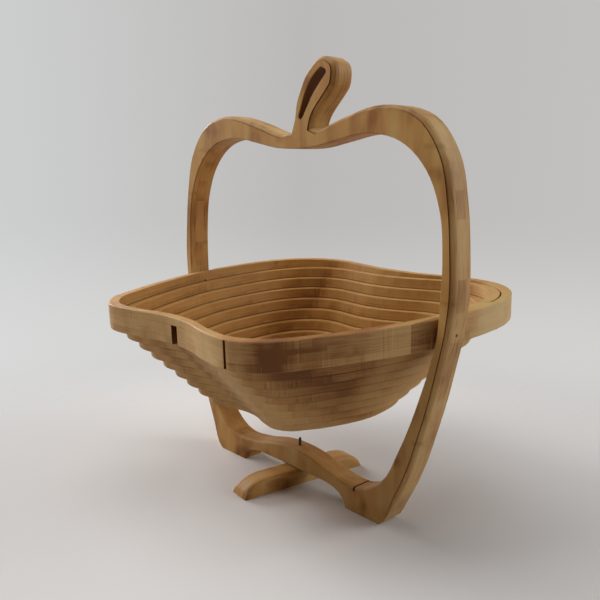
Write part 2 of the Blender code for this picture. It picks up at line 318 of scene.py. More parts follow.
def bentRing(name, rows):
    # A ring of square section, with each cross section moved to its place
    count = len(rows)
    clearSelection()
    bpy.ops.mesh.primitive_torus_add(
        major_segments=count, minor_segments=4, major_radius=1, minor_radius=0.5)
    ring = newPiece(name)
    for vertex in ring.data.vertices:
        outer, inner = rows[round(math.atan2(vertex.co.y, vertex.co.x) / math.tau * count) % count]
        # corners 0 to 3: outer top, inner top, inner bottom, outer bottom
        across = math.hypot(vertex.co.x, vertex.co.y) - 1
        corner = round(math.atan2(vertex.co.z, across) / (math.pi / 2)) % 4
        wall = outer if corner in (0, 3) else inner
        vertex.co = wall(halfBoard if corner < 2 else -halfBoard)
    facesOut(ring)
    return ring


def isAlong(a, b):
    # Runs along a strip, not across it
    turned = abs(math.remainder(math.atan2(a.x, a.y) - math.atan2(b.x, b.y), math.tau))
    return abs(a.z - b.z) < halfBoard / 10 and turned > board["stepAngle"] / 8


def hungAt(drop):
    # Where a piece of the basket hangs: dropped by the given amount, and leaning with the rim
    side = Vector((1, 0, 0))
    turned = Matrix((side, foldAxis.cross(side), foldAxis)).transposed()
    return lambda point: pivot + turned @ Vector((point.x, point.y, point.z - drop(point.x)))


# Colours are sRGB hex values, lengths are millimetres. Real fibres and saw marks are a few tenths of a
# millimetre wide: they are drawn about three times as coarse, so that they show
bambooLook = {
    "pale": "CDAA77",
    "honey": "BA8C55",
    "caramel": "8C5B2A",
    "umber": "71451D",
    "caramelTone": 0.15,
    "honeyTone": 0.5,
    "greenTint": "F0F8DE",
    "redTint": "FFEDD8",
    # painted sheen: the walls that face outwards are drawn paler, the more so where the tone is light
    "paleSheen": "D8C49C",
    "sheenShare": 0.10,
    "knuckle": "7C4C20",
    "outerPly": 5.3,
    # in the outer plies, in the middle one
    "stripWidth": (16, 19),
    "stripContrast": (0.16, 0.16),
    "hueContrast": (0.35, 0.40),
    "frontShift": 37.4,
    "unevenness": 0.7,
    # on the faces, on the sawn walls
    "fibreWidth": (0.9, 11),
    "fibreContrast": (0.70, 0.34),
    "roughness": (0.42, 0.58),
    "shine": (0.5, 0.25),
    "fibreDepth": 0.9,
    "fibreLength": 45,
    "roughnessSpread": 0.25,
    "blotch": 24,
    "blotchStretch": (1.6, 0.6, 1),
    "blotchContrast": 0.60,
    "streak": 1.3,
    "streakLength": 16,
    "streakPlace": (7, 3, 5),
    "streakDark": 0.08,
    "streakTones": (0.60, 0.78),
    "endGrainDark": 0.15,
    "glueLine": 0.35,
    "glueDark": 0.08,
    # scorch marks with painted shade: in the router's shoulder, the saw cuts, the notch and the eye
    "burnAndShade": "5E2A08",
    "burnAndShadeShare": 0.95,
    # painted shadow, with some dust, along each wall where the next strip steps away from it
    "gap": "4A260C",
    # on walls that face inwards, and outwards
    "gapShadeShare": (0.70, 0.91),
    "gapShadeWidth": (1.1, 3.6),
    "outsideFrom": 0.05,
    "knuckleSpacing": 190,
    "knuckleWidth": 3,
    "knuckleDark": 0.30,
    "halfFade": (20, 45),
    "shades": (
        # right edge, reach to the left, blur of the edge, half of the board (1 top, -1 bottom), and how
        # much darker, or paler where it is below 0. Partly the wood's own strips, partly painted shade
        # on the front right and painted light on the back right
        (-74, 24, 1, 1, 0.20),
        (70, 130, 20, 1, -0.22),
        (140, 60, 3, 1, -0.35),
        (64, 70, 14, -1, -0.22),
        (96, 30, 9, -1, 0.20),
        (112, 58, 17, -1, 0.42)),
    "blocks": (
        # dark strip ends in the lower half: middle and half length along X, the same in depth, how dark
        (92.7, 4.8, -0.6, 3.7, 0.05),
        (102.6, 5.4, 2.3, 1.4, 0.12)),
    "sawTooth": 1.05,
    "sawStretch": (1, 1, 0.03),
    "sawPatch": 13,
    "sawPatchTones": (0.48, 0.62),
    "sawContrast": 0.40,
    "sawRelief": 1.5,
    "relief": 0.4,
    "reliefDepth": 0.08,
}


def linear(hexColour):
    channels = [int(hexColour[i:i + 2], 16) / 255 for i in (0, 2, 4)]
    return (*[c / 12.92 if c <= 0.04045 else ((c + 0.055) / 1.055) ** 2.4 for c in channels], 1)


def newMaterial(name):
    material = bpy.data.materials.new(name)
    material.use_nodes = True
    material.node_tree.nodes.clear()
    return material


def addNode(tree, kind, inputs, **settings):
    # An input is a value, a socket, or a node, which stands for its first output
    new = tree.nodes.new("ShaderNode" + kind)
    for name, value in settings.items():
        setattr(new, name, value)
    for name, value in inputs.items():
        if isinstance(value, bpy.types.Node):
            value = next(socket for socket in value.outputs if socket.enabled)
        if isinstance(value, bpy.types.NodeSocket):
            tree.links.new(value, new.inputs[name])
        else:
            new.inputs[name].default_value = value
    return new


def addSpread(tree, base, value, contrast):
    # Adds to the base what the value lies above or below its middle, times the contrast
    spread = addNode(tree, "Math", {0: value, 1: 0.5}, operation="SUBTRACT")
    return addNode(tree, "Math", {0: spread, 1: contrast, 2: base}, operation="MULTIPLY_ADD")


def shadedStrips(tree, look, x, y, z):
    # Darker and paler strips run through all plies, with an edge on the right and a fade to the left.
    # They are partly the wood's own tone, and partly painted shade and painted light
    shade = 0.0
    for edge, reach, blur, half, dark in look["shades"]:
        rightSide, leftSide, onHalf = [
            addNode(tree, "MapRange", {
                "Value": value, "From Min": start, "From Max": stop, "To Min": low, "To Max": high},
                interpolation_type="SMOOTHSTEP")
            for value, start, stop, low, high in (
                (x, edge - blur, edge + blur, dark, 0.0), (x, edge - reach, edge, 0.0, 1.0),
                (y, half * look["halfFade"][0], half * look["halfFade"][1], 0.0, 1.0))]
        inStrip = addNode(tree, "Math", {0: rightSide, 1: leftSide}, operation="MULTIPLY")
        shade = addNode(tree, "Math", {0: inStrip, 1: onHalf, 2: shade}, operation="MULTIPLY_ADD")
    for middleX, halfX, middleZ, halfZ, dark in look["blocks"]:
        inBlock = addNode(tree, "Math", {0: y, 1: 0.0}, operation="LESS_THAN")
        for value, middle, half in ((x, middleX, halfX), (z, middleZ, halfZ)):
            inside = addNode(tree, "Math", {0: value, 1: middle, 2: half}, operation="COMPARE")
            inBlock = addNode(tree, "Math", {0: inBlock, 1: inside}, operation="MULTIPLY")
        shade = addNode(tree, "Math", {0: inBlock, 1: dark, 2: shade}, operation="MULTIPLY_ADD")
    return shade


def sawMarks(tree, look, millimetres, sawn):
    # Fine marks stand upright on the sawn walls, in patches
    toothPlace = addNode(tree, "Mapping", {
        "Vector": millimetres, "Scale": [share / look["sawTooth"] for share in look["sawStretch"]]})
    teeth = addNode(tree, "TexNoise", {"Vector": toothPlace, "Scale": 1, "Detail": 1, "Roughness": 0.4})
    patchNoise = addNode(
        tree, "TexNoise", {"Vector": millimetres, "Scale": 1 / look["sawPatch"], "Detail": 1})
    low, high = look["sawPatchTones"]
    patch = addNode(tree, "MapRange", {
        "Value": patchNoise, "From Min": low, "From Max": high, "To Max": look["sawContrast"]},
        interpolation_type="SMOOTHSTEP")
    patchHere = addNode(tree, "Math", {0: patch, 1: sawn}, operation="MULTIPLY")
    return addSpread(tree, 0.0, teeth, patchHere)


def knuckles(tree, look, along, stripShift):
    # Knuckles cross each strip at a height of its own
    place = addNode(
        tree, "Math", {0: stripShift, 1: look["knuckleSpacing"], 2: along}, operation="MULTIPLY_ADD")
    away = addNode(tree, "Math", {0: place, 1: look["knuckleSpacing"] / 2}, operation="PINGPONG")
    return addNode(tree, "MapRange", {
        "Value": away, "From Max": look["knuckleWidth"], "To Min": look["knuckleDark"], "To Max": 0.0},
        interpolation_type="SMOOTHSTEP")


def gapShadeLines(tree, look, z, outward):
    # Painted shadow, with some dust, darkens each wall where the next strip steps away from it
    gapLevel = (halfBoard - dropPerTurn) * 1000
    onOutside = addNode(tree, "Math", {0: outward, 1: look["outsideFrom"]}, operation="GREATER_THAN")
    depthSign, width, share = [
        addNode(tree, "Mix", {0: onOutside, 2: inside, 3: outside})
        for inside, outside in ((1.0, -1.0), look["gapShadeWidth"], look["gapShadeShare"])]
    stepDepth = addNode(tree, "Math", {0: z, 1: depthSign, 2: -gapLevel}, operation="MULTIPLY_ADD")
    away = addNode(tree, "Math", {0: stepDepth}, operation="ABSOLUTE")
    line = addNode(tree, "MapRange", {"Value": away, "From Max": width, "To Min": 1.0, "To Max": 0.0})
    return addNode(tree, "Math", {0: line, 1: share}, operation="MULTIPLY")


def laminatedBamboo(name, look):
    # Three-ply bamboo board, sawn, sanded and satin lacquered. The faces show long strips of slightly
    # different brown with fine fibres and a knuckle here and there. The sawn walls show the plies as
    # layers, the crossing middle ply darker where its fibres stand end on, and saw marks in patches.
    material = newMaterial(name)
    tree = material.node_tree
    boardPlace, facing, outward, burntAndShaded = [
        addNode(tree, "Attribute", {}, attribute_name=word).outputs[output] for word, output in (
            ("board", "Vector"), ("facing", "Vector"), ("outward", "Fac"), ("burntAndShaded", "Fac"))]
    millimetres = addNode(tree, "VectorMath", {0: boardPlace, "Scale": 1000}, operation="SCALE")
    x, y, z = addNode(tree, "SeparateXYZ", {0: millimetres}).outputs
    facingX, _, facingZ = addNode(tree, "SeparateXYZ", {0: facing}).outputs
    sawn = addNode(tree, "Math", {0: 1.0, 1: facingZ}, operation="SUBTRACT")

    # The strips run along the board in the outer plies, and across it in the middle one
    plyEdge = halfBoard * 1000 - look["outerPly"]
    depth = addNode(tree, "Math", {0: z}, operation="ABSOLUTE")
    inMiddle = addNode(tree, "Math", {0: depth, 1: plyEdge}, operation="LESS_THAN")
    inFront = addNode(tree, "Math", {0: z, 1: plyEdge}, operation="GREATER_THAN")
    across, along, stripWidth, stripContrast, hueContrast = [
        addNode(tree, "Mix", {0: inMiddle, 2: outer, 3: middle}) for outer, middle in (
            (x, y), (y, x), look["stripWidth"], look["stripContrast"], look["hueContrast"])]
    stripCount = addNode(tree, "Math", {0: across, 1: stripWidth}, operation="DIVIDE")
    stripPlace = addNode(
        tree, "Math", {0: inFront, 1: look["frontShift"], 2: stripCount}, operation="MULTIPLY_ADD")
    strip = addNode(
        tree, "TexVoronoi", {"W": stripPlace, "Scale": 1, "Randomness": look["unevenness"]},
        voronoi_dimensions="1D").outputs["Color"]
    stripTone, stripHue, stripShift = addNode(tree, "SeparateColor", {0: strip}).outputs

    # Fibres run along the strips, and look drawn out sideways on the sawn walls
    fibreWidth, fibreContrast, polish, shine = [
        addNode(tree, "Mix", {0: sawn, 2: onFace, 3: onWall}) for onFace, onWall in (
            look["fibreWidth"], look["fibreContrast"], look["roughness"], look["shine"])]
    fibreSize = (fibreWidth, look["fibreLength"], look["fibreDepth"])
    fibrePlace = addNode(tree, "CombineXYZ", {
        i: addNode(tree, "Math", {0: way, 1: size}, operation="DIVIDE")
        for i, (way, size) in enumerate(zip((across, along, z), fibreSize))})
    fibre = addNode(tree, "TexNoise", {"Vector": fibrePlace, "Scale": 1, "Detail": 3, "Roughness": 0.6})
    streakPlace = addNode(tree, "Mapping", {
        "Vector": fibrePlace, "Location": look["streakPlace"],
        "Scale": (look["fibreDepth"] / look["streak"], look["fibreLength"] / look["streakLength"], 1)})
    streak = addNode(tree, "TexNoise", {"Vector": streakPlace, "Scale": 1, "Detail": 0})
    low, high = look["streakTones"]
    streakDark = addNode(tree, "MapRange", {
        "Value": streak, "From Min": low, "From Max": high, "To Max": look["streakDark"]})
    blotchPlace = addNode(tree, "Mapping", {
        "Vector": millimetres, "Scale": [share / look["blotch"] for share in look["blotchStretch"]]})
    blotch = addNode(tree, "TexNoise", {"Vector": blotchPlace, "Scale": 1, "Detail": 2})

    # End grain of the middle ply, the glue between the plies, cuts scorched and in painted shade, and
    # painted shadow lines at the gaps
    endOn = addNode(tree, "Math", {0: facingX, 1: inMiddle}, operation="MULTIPLY")
    onGlue = addNode(tree, "Math", {0: depth, 1: plyEdge, 2: look["glueLine"]}, operation="COMPARE")
    inGapShade = gapShadeLines(tree, look, z, outward)
    endDark, glueDark, burnAndShadeShare, gapShadeShare = [
        addNode(tree, "Math", {0: here, 1: share}, operation="MULTIPLY") for here, share in (
            (endOn, look["endGrainDark"]), (onGlue, look["glueDark"]),
            (burntAndShaded, look["burnAndShadeShare"]), (inGapShade, sawn))]

    # The tone adds up round 0.5
    shade = shadedStrips(tree, look, x, y, z)
    marks = sawMarks(tree, look, millimetres, sawn)
    tone = 0.5
    for value, contrast in (
            (stripTone, stripContrast), (fibre, fibreContrast), (blotch, look["blotchContrast"])):
        tone = addSpread(tree, tone, value, contrast)
    for darker in (shade, endDark, glueDark, streakDark):
        tone = addNode(tree, "Math", {0: tone, 1: darker}, operation="SUBTRACT")
    tone = addNode(tree, "Math", {0: tone, 1: marks}, operation="ADD", use_clamp=True)
    ramp = addNode(tree, "ValToRGB", {0: tone})
    ramp.color_ramp.elements[0].color = linear(look["umber"])
    ramp.color_ramp.elements[1].color = linear(look["pale"])
    ramp.color_ramp.elements.new(look["caramelTone"]).color = linear(look["caramel"])
    ramp.color_ramp.elements.new(look["honeyTone"]).color = linear(look["honey"])
    hue = addSpread(tree, 0.5, stripHue, hueContrast)
    green, red = linear(look["greenTint"]), linear(look["redTint"])
    tint = addNode(tree, "Mix", {0: hue, 6: green, 7: red}, data_type="RGBA")
    colour = addNode(tree, "Mix", {0: 1.0, 6: ramp, 7: tint}, data_type="RGBA", blend_type="MULTIPLY")

    # Painted sheen on the outward walls, knuckles, painted shadow at the gaps, and cuts scorched and in
    # painted shade lie over it
    # Painted sheen: walls that face outwards turn paler, the more so where the tone is light
    paler = addNode(tree, "Math", {0: outward, 1: tone}, operation="MULTIPLY")
    sheenShare = addNode(tree, "Math", {0: paler, 1: 2 * look["sheenShare"]}, operation="MULTIPLY")
    for share, over in (
            (sheenShare, "paleSheen"), (knuckles(tree, look, along, stripShift), "knuckle"),
            (gapShadeShare, "gap"), (burnAndShadeShare, "burnAndShade")):
        colour = addNode(tree, "Mix", {0: share, 6: colour, 7: linear(look[over])}, data_type="RGBA")

    height = addNode(tree, "Math", {0: marks, 1: look["sawRelief"], 2: fibre}, operation="MULTIPLY_ADD")
    relief = addNode(tree, "Bump", {
        "Height": height, "Strength": look["relief"], "Distance": look["reliefDepth"] / 1000})
    roughness = addSpread(tree, polish, blotch, look["roughnessSpread"])
    shader = addNode(tree, "BsdfPrincipled", {
        "Base Color": colour, "Roughness": roughness, "IOR": 1.5, "Specular IOR Level": shine,
        "Normal": relief})
    addNode(tree, "OutputMaterial", {"Surface": shader})
    return material


stripBamboo = laminatedBamboo("stripBamboo", bambooLook)
# The rim's last block is a painted shadow, cast by the frame's right upright on the rim beside it
rimBamboo = laminatedBamboo("rimBamboo", {
    **bambooLook, "sheenShare": 0.18, "gapShadeShare": (0.70, 0.0),
    "blocks": (*bambooLook["blocks"], (131, 4, 0, 12, 0.34))})
# The frame's one shade strip is painted light: paler towards the frame's lower half
frameBamboo = laminatedBamboo("frameBamboo", {
    **bambooLook, "stripContrast": (0.16, 0.28), "fibreContrast": (1.15, 0.34), "blotchContrast": 1.0,
    "sheenShare": 0.18, "sawContrast": 0.15, "streakDark": 0.22, "gapShadeShare": (0.0, 0.0),
    "shades": ((60, 160, 20, -1, -0.2),), "blocks": ()})

steelLook = {
    "colour": "5A524A",
    "tarnish": "2E2924",
    "roughness": 0.38,
    "wear": 0.35,
    "wearTones": (0.3, 0.7),
    "grain": 0.4,
}


def turnedSteel(name, look):
    # Small screw and pins of turned steel, browned by age: dull grey with darker patches
    material = newMaterial(name)
    tree = material.node_tree
    place = addNode(tree, "TexCoord", {}).outputs["Object"]
    grain = addNode(tree, "TexNoise", {"Vector": place, "Scale": 1000 / look["grain"], "Detail": 3})
    low, high = look["wearTones"]
    roughness = addNode(tree, "MapRange", {
        "Value": grain, "From Min": low, "From Max": high, "To Min": look["roughness"],
        "To Max": look["roughness"] + look["wear"]})
    dull, bright = linear(look["tarnish"]), linear(look["colour"])
    colour = addNode(tree, "Mix", {0: grain, 6: dull, 7: bright}, data_type="RGBA")
    shader = addNode(
        tree, "BsdfPrincipled", {"Base Color": colour, "Metallic": 1.0, "Roughness": roughness})
    addNode(tree, "OutputMaterial", {"Surface": shader})
    return material


steel = turnedSteel("turnedSteel", steelLook)

# Frame: outline with a curled stem, an opening that the basket was sawn from, and two feet
frameShape = {
    "wall": 0.0082,
    "wallShares": (
        1.110, 1.417, 2.009, 2.506, 2.574, 1.939, 1.184, 1.059, 1.139, 1.000,
        1.013, 1.220, 1.427, 1.841, 2.220, 3.750, 4.500, 5.000, 5.000),
    "footSpreadShare": 0.684,
    "footCornerStep": math.radians(2),
    "archHalfSpan": 0.0596,
    "archHeight": 0.0129,
    "archShares": ((1, 0), (0.965, 0.40), (0.885, 0.71), (0.766, 0.91), (0.64, 1)),
    "stemReach": 0.0398,
    "stemHeight": 0.0528,
    "stemShares": (
        (0.444, 0.097), (0.475, 0.185), (0.537, 0.266), (0.616, 0.338), (0.754, 0.444),
        (0.862, 0.527), (0.969, 0.631), (1.000, 0.786), (0.959, 0.897), (0.850, 0.960),
        (0.723, 1.000), (0.566, 0.982), (0.439, 0.919), (0.248, 0.788), (0.117, 0.613),
        (0.014, 0.437), (-0.033, 0.228), (-0.119, 0.043)),
    "eyeShares": (
        (0.697, 0.856), (0.635, 0.842), (0.539, 0.793), (0.410, 0.696), (0.284, 0.540),
        (0.186, 0.362), (0.131, 0.248), (0.191, 0.209), (0.258, 0.268), (0.353, 0.379),
        (0.482, 0.522), (0.640, 0.649), (0.797, 0.768), (0.790, 0.824)),
    "stemSideShares": (0.556, 0.330),
    "frontRound": 0.0030,
    "frontShoulder": 0.0011,
    "leastShoulder": 0.00003,
    "backRound": 0.0016,
    "barRound": 0.0024,
    "edgeEase": 0.0006,
    # where the rounding sets in and is full: in arch heights, and in shares of the opening's depth
    "archFade": (0.5, 2.0),
    "barFade": (0.5, 0.95),
    "eyeBurnAndShade": 0.8,
    "eyeReach": 0.0015,
}
floorY = -pivot.z
humpY = -openingHalf * board["openingShares"][-1]
stemFootY = openingHalf * board["openingShares"][0] + frameShape["wall"] * frameShape["wallShares"][0]


def sidePoint(angle):
    wall = frameShape["wall"] * tableValue(frameShape["wallShares"], angle)
    return roundPoint(cutRadius(0, angle) + wall, angle)


def stemPath(shares, closed):
    reach, height = frameShape["stemReach"], frameShape["stemHeight"]
    return smoothPath([Vector((x * reach, stemFootY + y * height, 0)) for x, y in shares], closed)


def archPath(halfSpan, height, side):
    points = [
        Vector((side * x * halfSpan, floorY + y * height, 0)) for x, y in frameShape["archShares"]]
    return smoothPath(points, False)


def insetLoop(loop, widths, share):
    # Loops run with the wood on their left, so the eye runs clockwise; each point moves into the wood
    moved = []
    for i, point in enumerate(loop):
        before = (point - loop[i - 1]).normalized()
        after = (loop[(i + 1) % len(loop)] - point).normalized()
        middle = Vector((-before.y - after.y, before.x + after.x, 0)).normalized()
        lean = max(middle.dot(Vector((-before.y, before.x, 0))), 0.5)
        moved.append(point + middle * (widths[i] * share / lean))
    return moved


def drawnUp(loop, levels, lift):
    # The outline, drawn straight up in even steps
    clearSelection()
    bpy.ops.mesh.primitive_circle_add(vertices=len(loop), fill_type="NOTHING")
    wall = bpy.context.object
    for vertex, point in zip(wall.data.vertices, loop):
        vertex.co = (point.x, point.y, 0)
    editAll()
    for _ in range(levels - 1):
        bpy.ops.mesh.extrude_region_move(TRANSFORM_OT_translate={"value": (0, 0, lift)})
    mode("OBJECT")
    return wall


def roundedLevels(loop, frontWidth, backWidth, shoulder):
    # The outline at each level: rounded at the back, then at the front, where the round starts at a
    # small shoulder below the face, as a router leaves it
    steps = board["roundSteps"]
    turns = [math.pi / 2 * step / steps for step in range(steps + 1)]
    rings = []
    for side, width, below, order in (
            (-1, backWidth, lambda point: 0, turns), (1, frontWidth, shoulder, reversed(turns))):
        widths = [width(point) for point in loop]
        for turned in order:
            ring = insetLoop(loop, widths, 1 - math.sin(turned))
            rings.append([
                Vector((p.x, p.y, side * (halfBoard - below(q) - w * (1 - math.cos(turned)))))
                for p, q, w in zip(ring, loop, widths)])
    rings.append([Vector((p.x, p.y, halfBoard)) for p in rings[-1]])
    return rings


def sawnPlate(name, loops, frontWidth, backWidth, shoulder=lambda point: frameShape["leastShoulder"]):
    # Each outline is drawn up from the back to the front of the board, and both faces are filled
    levels = 2 * board["roundSteps"] + 3
    lift = board["thickness"] / (levels - 1)
    walls = []
    for loop in loops:
        wall = drawnUp(loop, levels, lift)
        rings = roundedLevels(loop, frontWidth, backWidth, shoulder)
        spots = KDTree(len(loop))
        for i, point in enumerate(loop):
            spots.insert((point.x, point.y, 0), i)
        spots.balance()
        for vertex in wall.data.vertices:
            spot = spots.find((vertex.co.x, vertex.co.y, 0))[1]
            vertex.co = rings[round(vertex.co.z / lift)][spot]
        walls.append(wall)
    takeUp(walls[0])
    for wall in walls:
        wall.select_set(True)
    if len(walls) > 1:
        bpy.ops.object.join()
    plate = newPiece(name)
    for face in (-halfBoard, halfBoard):
        editNone("VERT")
        mode("OBJECT")
        for vertex in plate.data.vertices:
            vertex.select = abs(vertex.co.z - face) < near / 100
        mode("EDIT")
        bpy.ops.mesh.fill(use_beauty=True)
    facesOut(plate)
    return plate


fullCircle = round(math.tau / board["stepAngle"])
footHalfSpread = openingHalf * frameShape["footSpreadShare"]
cornerAngle = math.atan2(footHalfSpread, floorY) - frameShape["footCornerStep"]
stemRightAngle, stemLeftAngle = [
    math.atan2(frameShape["stemReach"] * share, stemFootY) for share in frameShape["stemSideShares"]]
outline = [Vector((footHalfSpread, floorY, 0))]
outline += [sidePoint(angle) for angle in anglesBetween(cornerAngle, stemRightAngle)]
outline += stemPath(frameShape["stemShares"], False)
outline += [sidePoint(-angle) for angle in reversed(anglesBetween(cornerAngle, stemLeftAngle))]
outline.append(Vector((-footHalfSpread, floorY, 0)))
arch = frameShape["archHalfSpan"], frameShape["archHeight"]
outline += archPath(*arch, -1) + archPath(*arch, 1)[::-1]
opening = [cutPoint(0, i * board["stepAngle"], 0, 0) for i in range(fullCircle)]
eye = stemPath(frameShape["eyeShares"], True)[::-1]
outlinePlaces = {tuple(point) for point in outline}
openingPlaces = {tuple(point) for point in opening}


def aboveArch(point):
    return blend((point.y - floorY) / frameShape["archHeight"], *frameShape["archFade"])


def frameEase(point, outside):
    # The outside is rounded over, the bottom bar softly, while the sawn opening and the eye stay crisp
    crisp = frameShape["edgeEase"]
    if tuple(point) in outlinePlaces:
        return partWay(crisp, outside, aboveArch(point))
    if tuple(point) in openingPlaces:
        return partWay(crisp, frameShape["barRound"], blend(point.y / humpY, *frameShape["barFade"]))
    return crisp


def frameShoulder(point):
    least = frameShape["leastShoulder"]
    if tuple(point) in outlinePlaces:
        return partWay(least, frameShape["frontShoulder"], aboveArch(point))
    return least


appleFrame = sawnPlate(
    "appleFrame", [outline, opening, eye],
    lambda point: frameEase(point, frameShape["frontRound"]),
    lambda point: frameEase(point, frameShape["backRound"]), frameShoulder)

# Rim: the outermost ring of the basket, thin round the back where the first ramp lies inside it
rimShape = {
    "outerRound": 0.0010,
    "innerEase": 0.0005,
    "notchWidth": 0.0068,
    "notchTop": 0.0040,
    "notchClearance": 0.0012,
    "slitWidth": 0.0019,
    "slitTop": 0.0006,
    "slitBottom": 0.0008,
    "oldHoleRadius": 0.0011,
    "oldHoleDepth": 0.0022,
    "oldHole": (-0.0015, 0.0018),
}

# The saw went in from the low lobe of the opening, and left a nick in frame and rim
cutMargin = 0.004
halfSlit, halfNotch = rimShape["slitWidth"] / 2, rimShape["notchWidth"] / 2
slitPoint = cutPoint(0, board["slitAngle"], 0, 0)


def sawSlit(piece, nearY, farY, bottom, top):
    saw(piece, sawBlade((slitPoint.x - halfSlit, nearY, bottom), (slitPoint.x + halfSlit, farY, top)))


def inSlit(centre, normal, mouth):
    # Only the sides and the end of the slit count
    away = abs(centre.y - mouth)
    inside = abs(centre.x - slitPoint.x) < halfSlit + near and away < cutMargin
    return inside and (abs(normal.x) > 0.9 or abs(away - board["slitDepth"]) < near)


sawSlit(
    appleFrame, slitPoint.y - board["slitDepth"], slitPoint.y + cutMargin,
    -halfBoard - cutMargin, halfBoard + cutMargin)

pin = {
    "radius": 0.0010,
    "depthShare": 0.6,
    "recess": 0.0004,
    "clearance": 0.0001,
    "dome": 0.0003,
}
screw = {
    "radius": 0.0015,
    "tipRadius": 0.0012,
    "tipHeight": 0.0064,
    "point": 0.0008,
    "headRadius": 0.0032,
    "headHeight": 0.0018,
    "headFaceShare": 0.97,
    "headEase": 0.0002,
    "neck": 0.0007,
    "recess": 0.0005,
    "threadPitch": 0.0011,
    "threadDepth": 0.0002,
}


def halfWidthAt(height):
    # Half width of the opening beside the pivot line, at a small height above it
    angle = math.pi / 2 - math.atan2(height, openingHalf)
    return cutRadius(0, angle) * math.sin(angle)


def rimOuterPoint(angle, z):
    # The rim is cut back beside the pins, so that its thickness clears the uprights as it turns
    point = cutPoint(0, angle, kerf, z)
    limit = min(halfWidthAt(-halfBoard), halfWidthAt(halfBoard)) - kerf / 2
    limit += max(abs(point.y) - halfBoard - kerf, 0) / 2
    point.x = min(max(point.x, -limit), limit)
    return point


rightEdge = rimOuterPoint(math.pi / 2, 0).x
pinInner = partWay(rightEdge, cutPoint(1, math.pi / 2, 0, 0).x, pin["depthShare"])
pinOuter = sidePoint(math.pi / 2).x - pin["recess"]
screwHole = screw["radius"] + pin["clearance"]


def drillPinHoles(piece, start, end):
    for side in (-1, 1):
        saw(piece, roundBar(pin["radius"] + pin["clearance"], (side * start, 0, 0), (side * end, 0, 0)))


drillPinHoles(appleFrame, rightEdge - cutMargin, pinOuter + cutMargin)
saw(appleFrame, roundBar(screwHole, (0, humpY + cutMargin, 0), (0, floorY - cutMargin, 0)))


def frameBurntAndShaded(centre, normal):
    # Scorch marks with painted shade, as in a corner or hole: the router's shoulder, the end of the saw
    # cut and, a little paler, the inside of the eye
    if inSlit(centre, normal, slitPoint.y):
        return 1
    if abs(normal.z) > 0.3:
        return 0
    if centre.z > halfBoard - 0.9 * frameShape["frontShoulder"]:
        return 1
    toEye = min((point - centre).xy.length for point in eye)
    return frameShape["eyeBurnAndShade"] * (centre.y > stemFootY and toEye < frameShape["eyeReach"])


standUp(appleFrame, lambda point: pivot + Vector((point.x, -point.z, point.y)), frameBurntAndShaded)
finishPiece(appleFrame, "frame_body", ["frame"], frameBamboo)
print("frame done")

reliefAngle = math.atan2(halfBoard + kerf, openingHalf)
rimAngles = anglesBetween(rootAngle, rootAngle - math.tau)[:-1]
rimAngles.append(rootAngle - basket["stepSlant"])
for middle in (math.pi / 2 - math.tau, leftAngle):
    rimAngles += [middle - reliefAngle, middle + reliefAngle]
rimAngles.sort(reverse=True)
rimRows = []
for angle in rimAngles:
    index = shiftShare(angle)
    pastLeft = angle - leftAngle > basket["sameAngle"]
    if pastLeft and angle <= rootAngle - basket["sameAngle"]:
        index -= 1
    inner = stripWalls(index, angle)[1]
    rimRows.append((lambda z, a=angle: rimOuterPoint(a, z), inner))
basketRim = bentRing("basketRim", rimRows)


def onRimOutside(*ends):
    for point in ends:
        outer = rimOuterPoint(math.atan2(point.x, point.y), 0).length
        if outer - math.hypot(point.x, point.y) > basket["rimWidth"] / 4:
            return False
    return True


easeEdges(basketRim, lambda a, b: isAlong(a, b) and onRimOutside(a, b), rimShape["outerRound"], 5)
easeEdges(basketRim, lambda a, b: isAlong(a, b) and not onRimOutside(a, b), rimShape["innerEase"], 3)
rimFront = rimOuterPoint(math.pi, 0).y
notchEnd = rimFront + screw["tipHeight"] - kerf + rimShape["notchClearance"]
saw(basketRim, sawBlade(
    (-halfNotch, rimFront - cutMargin, -halfBoard - cutMargin),
    (halfNotch, notchEnd, rimShape["notchTop"])))
rimSlitY = cutPoint(0, board["slitAngle"], kerf, 0).y
sawSlit(
    basketRim, rimSlitY - cutMargin, rimSlitY + board["slitDepth"],
    rimShape["slitBottom"] - halfBoard, halfBoard - rimShape["slitTop"])
drillPinHoles(basketRim, pinInner - 2 * pin["clearance"], rightEdge + cutMargin)
oldY, oldZ = rimShape["oldHole"]
oldX = cutPoint(1, leftAngle, 0, 0).x
saw(basketRim, roundBar(
    rimShape["oldHoleRadius"],
    (oldX - rimShape["oldHoleDepth"], oldY, oldZ), (oldX + cutMargin, oldY, oldZ)))


def rimBurntAndShaded(centre, normal):
    # Scorch marks with painted shade, as in a hole: the notch for the screw, and the end of the saw cut
    fromTop = rimShape["notchTop"] - centre.z
    fromEnd = notchEnd - centre.y
    inNotch = abs(centre.x) < halfNotch + near and min(fromTop, fromEnd) > -near
    cutFace = abs(normal.x) > 0.9 or min(abs(fromTop), abs(fromEnd)) < near
    return inNotch and cutFace or inSlit(centre, normal, rimSlitY)


standUp(basketRim, hungAt(lambda x: 0), rimBurntAndShaded)
finishPiece(basketRim, "rim_body", ["rim"], rimBamboo)
print("rim done")


def spiralStrip(name, node, index, angles, drop):
    # A strip lies between a cut and the next one
    strip = bentBar(name, [stripWalls(index + shiftShare(angle), angle) for angle in angles])
    easeEdges(strip, isAlong, basket["stripEase"], 2)
    standUp(strip, hungAt(drop))
    finishPiece(strip, f"{node}_body", [node], stripBamboo)


# Level turns run from the left round the front to the root side
for k in range(1, turnCount):
    spiralStrip(
        f"levelTurn{k}", f"turn_{k}", k, anglesBetween(leftAngle, rootAngle - math.tau),
        lambda x: k * dropPerTurn)

